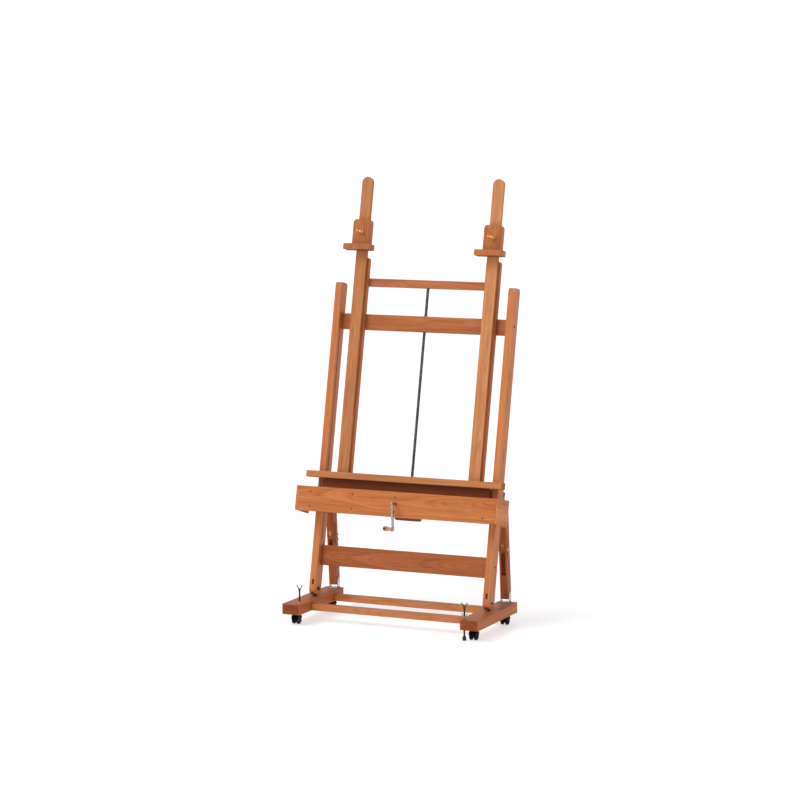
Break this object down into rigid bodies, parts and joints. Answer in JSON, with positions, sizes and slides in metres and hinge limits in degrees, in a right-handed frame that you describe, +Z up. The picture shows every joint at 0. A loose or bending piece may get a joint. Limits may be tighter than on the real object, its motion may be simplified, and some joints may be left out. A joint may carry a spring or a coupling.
{
  "type": "easel",
  "caption": "Studio H-frame easel in oiled beech: leaning posts on tilt struts, crank-raised tray and ledge, sliding masts with canvas clamps, castor base with levelling feet.",
  "frame": {"origin": "on the floor under the middle of the easel's overall box", "axes": "+Z up, -Y the front (painter) side, +X to the right seen from the front"},
  "size_m": [0.829, 0.5164, 1.6688],
  "materials": {
    "oiled_beech": "oiled beech, satin, warm orange brown with fine flecked grain",
    "turned_wood": "turned and varnished beech",
    "brass": "polished cast brass",
    "zinc_steel": "zinc-plated steel, slightly dull",
    "threaded_steel": "blackened, oiled steel thread",
    "castor_plastic": "black moulded nylon",
    "knob_plastic": "black moulded knob",
    "rubber": "black rubber"
  },
  "bodies": {
    "base": {"foot_left": "oiled_beech", "foot_right": "oiled_beech", "stretcher_front": "oiled_beech", "stretcher_rear": "oiled_beech", "hinge_bracket_left": "zinc_steel", "hinge_bracket_right": "zinc_steel", "strut_bracket_left": "zinc_steel", "strut_bracket_right": "zinc_steel"},
    "h_frame": {"post_left": "oiled_beech", "post_right": "oiled_beech", "cross_rail_upper": "oiled_beech", "cross_rail_lower": "oiled_beech", "rod_nut": "brass", "hinge_bolt_left": "zinc_steel", "hinge_bolt_right": "zinc_steel", "strut_hinge_left": "zinc_steel", "strut_hinge_right": "zinc_steel"},
    "carriage": {"inner_upright_left": "oiled_beech", "inner_upright_right": "oiled_beech", "guide_block_left": "oiled_beech", "guide_block_right": "oiled_beech", "top_bar": "oiled_beech", "gear_block": "oiled_beech", "tray_front_panel": "oiled_beech", "tray_side_left": "oiled_beech", "tray_side_right": "oiled_beech", "tray_bottom": "oiled_beech", "tray_back_board": "oiled_beech", "canvas_ledge": "oiled_beech"},
    "rod": {"threaded_rod": "threaded_steel"},
    "crank": {"crank": "zinc_steel"},
    "crank_grip": {"crank_grip": "turned_wood"},
    "castor_front_left": {"castor_hood_front_left": "castor_plastic"},
    "wheels_front_left": {"castor_wheels_front_left": "castor_plastic"},
    "castor_rear_left": {"castor_hood_rear_left": "castor_plastic"},
    "wheels_rear_left": {"castor_wheels_rear_left": "castor_plastic"},
    "level_pad_left": {"levelling_pad_left": "rubber"},
    "level_screw_left": {"levelling_screw_left": "zinc_steel"},
    "lock_nut_left": {"lock_wing_nut_left": "brass"},
    "strut_lower_left": {"strut_lower_left": "oiled_beech"},
    "strut_upper_left": {"strut_upper_left": "oiled_beech"},
    "strut_wing_left": {"strut_wing_bolt_left": "brass"},
    "mast_left": {"mast_left": "oiled_beech"},
    "mast_lock_left": {"mast_lock_knob_left": "knob_plastic"},
    "clamp_left": {"clamp_left": "oiled_beech"},
    "clamp_screw_left": {"clamp_wing_screw_left": "brass"},
    "castor_front_right": {"castor_hood_front_right": "castor_plastic"},
    "wheels_front_right": {"castor_wheels_front_right": "castor_plastic"},
    "castor_rear_right": {"castor_hood_rear_right": "castor_plastic"},
    "wheels_rear_right": {"castor_wheels_rear_right": "castor_plastic"},
    "level_pad_right": {"levelling_pad_right": "rubber"},
    "level_screw_right": {"levelling_screw_right": "zinc_steel"},
    "lock_nut_right": {"lock_wing_nut_right": "brass"},
    "strut_lower_right": {"strut_lower_right": "oiled_beech"},
    "strut_upper_right": {"strut_upper_right": "oiled_beech"},
    "strut_wing_right": {"strut_wing_bolt_right": "brass"},
    "mast_right": {"mast_right": "oiled_beech"},
    "mast_lock_right": {"mast_lock_knob_right": "knob_plastic"},
    "clamp_right": {"clamp_right": "oiled_beech"},
    "clamp_screw_right": {"clamp_wing_screw_right": "brass"}
  },
  "joints": [
    {"name": "tilt", "type": "hinge", "parent": "base", "child": "h_frame", "pos_m": [0, -0.05439, 0.11001], "axis": [1, 0, 0], "range_deg": [-6, 14]},
    {"name": "lift", "type": "slide", "parent": "h_frame", "child": "carriage", "axis": [0, 0.2079, 0.9781], "range_m": [-0.08, 0.55]},
    {"name": "rod_spin", "type": "hinge", "parent": "carriage", "child": "rod", "pos_m": [0, 0.02916, 0.4379], "axis": [0, 0.2079, 0.9781], "continuous": true},
    {"name": "crank_spin", "type": "hinge", "parent": "carriage", "child": "crank", "pos_m": [0, -0.00928, 0.44607], "axis": [0, 0.9781, -0.2079], "continuous": true},
    {"name": "crank_grip_spin", "type": "hinge", "parent": "crank", "child": "crank_grip", "pos_m": [0.01364, -0.19574, 0.38649], "axis": [0, 0.9781, -0.2079], "continuous": true},
    {"name": "castor_swivel_front_left", "type": "hinge", "parent": "base", "child": "castor_front_left", "pos_m": [-0.3625, -0.19223, 0.05], "axis": [0, 0, 1], "continuous": true},
    {"name": "castor_roll_front_left", "type": "hinge", "parent": "castor_front_left", "child": "wheels_front_left", "pos_m": [-0.3625, -0.20522, 0.01706], "axis": [1, 0, 0], "continuous": true},
    {"name": "castor_swivel_rear_left", "type": "hinge", "parent": "base", "child": "castor_rear_left", "pos_m": [-0.3625, 0.08678, 0.05], "axis": [0, 0, 1], "continuous": true},
    {"name": "castor_roll_rear_left", "type": "hinge", "parent": "castor_rear_left", "child": "wheels_rear_left", "pos_m": [-0.3625, 0.09978, 0.01706], "axis": [1, 0, 0], "continuous": true},
    {"name": "level_left", "type": "slide", "parent": "base", "child": "level_pad_left", "axis": [0, 0, 1], "range_m": [-0.013, 0.012]},
    {"name": "level_screw_spin_left", "type": "hinge", "parent": "level_pad_left", "child": "level_screw_left", "pos_m": [-0.336, -0.23322, 0.06], "axis": [0, 0, 1], "continuous": true},
    {"name": "lock_nut_spin_left", "type": "hinge", "parent": "base", "child": "lock_nut_left", "pos_m": [-0.336, -0.23322, 0.088], "axis": [0, 0, 1], "continuous": true},
    {"name": "strut_swing_left", "type": "hinge", "parent": "base", "child": "strut_lower_left", "pos_m": [-0.35775, 0.11778, 0.115], "axis": [1, 0, 0], "range_deg": [-6, 14]},
    {"name": "strut_extend_left", "type": "slide", "parent": "strut_lower_left", "child": "strut_upper_left", "axis": [0, -0.0991, 0.9951], "range_m": [-0.022, 0.049]},
    {"name": "strut_wing_spin_left", "type": "hinge", "parent": "strut_upper_left", "child": "strut_wing_left", "pos_m": [-0.35775, 0.09323, 0.28842], "axis": [1, 0, 0], "continuous": true},
    {"name": "mast_slide_left", "type": "slide", "parent": "carriage", "child": "mast_left", "axis": [0, 0.2079, 0.9781], "range_m": [-0.25, 0.33]},
    {"name": "mast_lock_spin_left", "type": "hinge", "parent": "carriage", "child": "mast_lock_left", "pos_m": [-0.271, 0.2051, 1.31038], "axis": [0, 0.9781, -0.2079], "continuous": true},
    {"name": "clamp_slide_left", "type": "slide", "parent": "mast_left", "child": "clamp_left", "axis": [0, 0.2079, 0.9781], "range_m": [-0.5, 0.14]},
    {"name": "clamp_screw_spin_left", "type": "hinge", "parent": "clamp_left", "child": "clamp_screw_left", "pos_m": [-0.271, 0.18593, 1.46066], "axis": [0, 0.9781, -0.2079], "continuous": true},
    {"name": "castor_swivel_front_right", "type": "hinge", "parent": "base", "child": "castor_front_right", "pos_m": [0.3625, -0.19223, 0.05], "axis": [0, 0, 1], "continuous": true},
    {"name": "castor_roll_front_right", "type": "hinge", "parent": "castor_front_right", "child": "wheels_front_right", "pos_m": [0.3625, -0.20522, 0.01706], "axis": [1, 0, 0], "continuous": true},
    {"name": "castor_swivel_rear_right", "type": "hinge", "parent": "base", "child": "castor_rear_right", "pos_m": [0.3625, 0.08678, 0.05], "axis": [0, 0, 1], "continuous": true},
    {"name": "castor_roll_rear_right", "type": "hinge", "parent": "castor_rear_right", "child": "wheels_rear_right", "pos_m": [0.3625, 0.09978, 0.01706], "axis": [1, 0, 0], "continuous": true},
    {"name": "level_right", "type": "slide", "parent": "base", "child": "level_pad_right", "axis": [0, 0, 1], "range_m": [0, 0.025]},
    {"name": "level_screw_spin_right", "type": "hinge", "parent": "level_pad_right", "child": "level_screw_right", "pos_m": [0.336, -0.23322, 0.06], "axis": [0, 0, 1], "continuous": true},
    {"name": "lock_nut_spin_right", "type": "hinge", "parent": "base", "child": "lock_nut_right", "pos_m": [0.336, -0.23322, 0.088], "axis": [0, 0, 1], "continuous": true},
    {"name": "strut_swing_right", "type": "hinge", "parent": "base", "child": "strut_lower_right", "pos_m": [0.35775, 0.11778, 0.115], "axis": [1, 0, 0], "range_deg": [-6, 14]},
    {"name": "strut_extend_right", "type": "slide", "parent": "strut_lower_right", "child": "strut_upper_right", "axis": [0, -0.0991, 0.9951], "range_m": [-0.022, 0.049]},
    {"name": "strut_wing_spin_right", "type": "hinge", "parent": "strut_upper_right", "child": "strut_wing_right", "pos_m": [0.35775, 0.09323, 0.28842], "axis": [1, 0, 0], "continuous": true},
    {"name": "mast_slide_right", "type": "slide", "parent": "carriage", "child": "mast_right", "axis": [0, 0.2079, 0.9781], "range_m": [-0.25, 0.33]},
    {"name": "mast_lock_spin_right", "type": "hinge", "parent": "carriage", "child": "mast_lock_right", "pos_m": [0.271, 0.2051, 1.31038], "axis": [0, 0.9781, -0.2079], "continuous": true},
    {"name": "clamp_slide_right", "type": "slide", "parent": "mast_right", "child": "clamp_right", "axis": [0, 0.2079, 0.9781], "range_m": [-0.5, 0.14]},
    {"name": "clamp_screw_spin_right", "type": "hinge", "parent": "clamp_right", "child": "clamp_screw_right", "pos_m": [0.271, 0.18406, 1.45185], "axis": [0, 0.9781, -0.2079], "continuous": true}
  ],
  "couplings": [
    {"joint": "rod_spin", "follows": "lift", "rad_per_m": 523.6},
    {"joint": "crank_spin", "follows": "lift", "rad_per_m": -523.6},
    {"joint": "level_screw_spin_left", "follows": "level_left", "rad_per_m": 5026.6},
    {"joint": "strut_swing_left", "follows": "tilt", "ratio": 0.9418},
    {"joint": "strut_extend_left", "follows": "tilt", "m_per_rad": 0.16958},
    {"joint": "level_screw_spin_right", "follows": "level_right", "rad_per_m": 5026.6},
    {"joint": "strut_swing_right", "follows": "tilt", "ratio": 0.9418},
    {"joint": "strut_extend_right", "follows": "tilt", "m_per_rad": 0.16958}
  ]
}
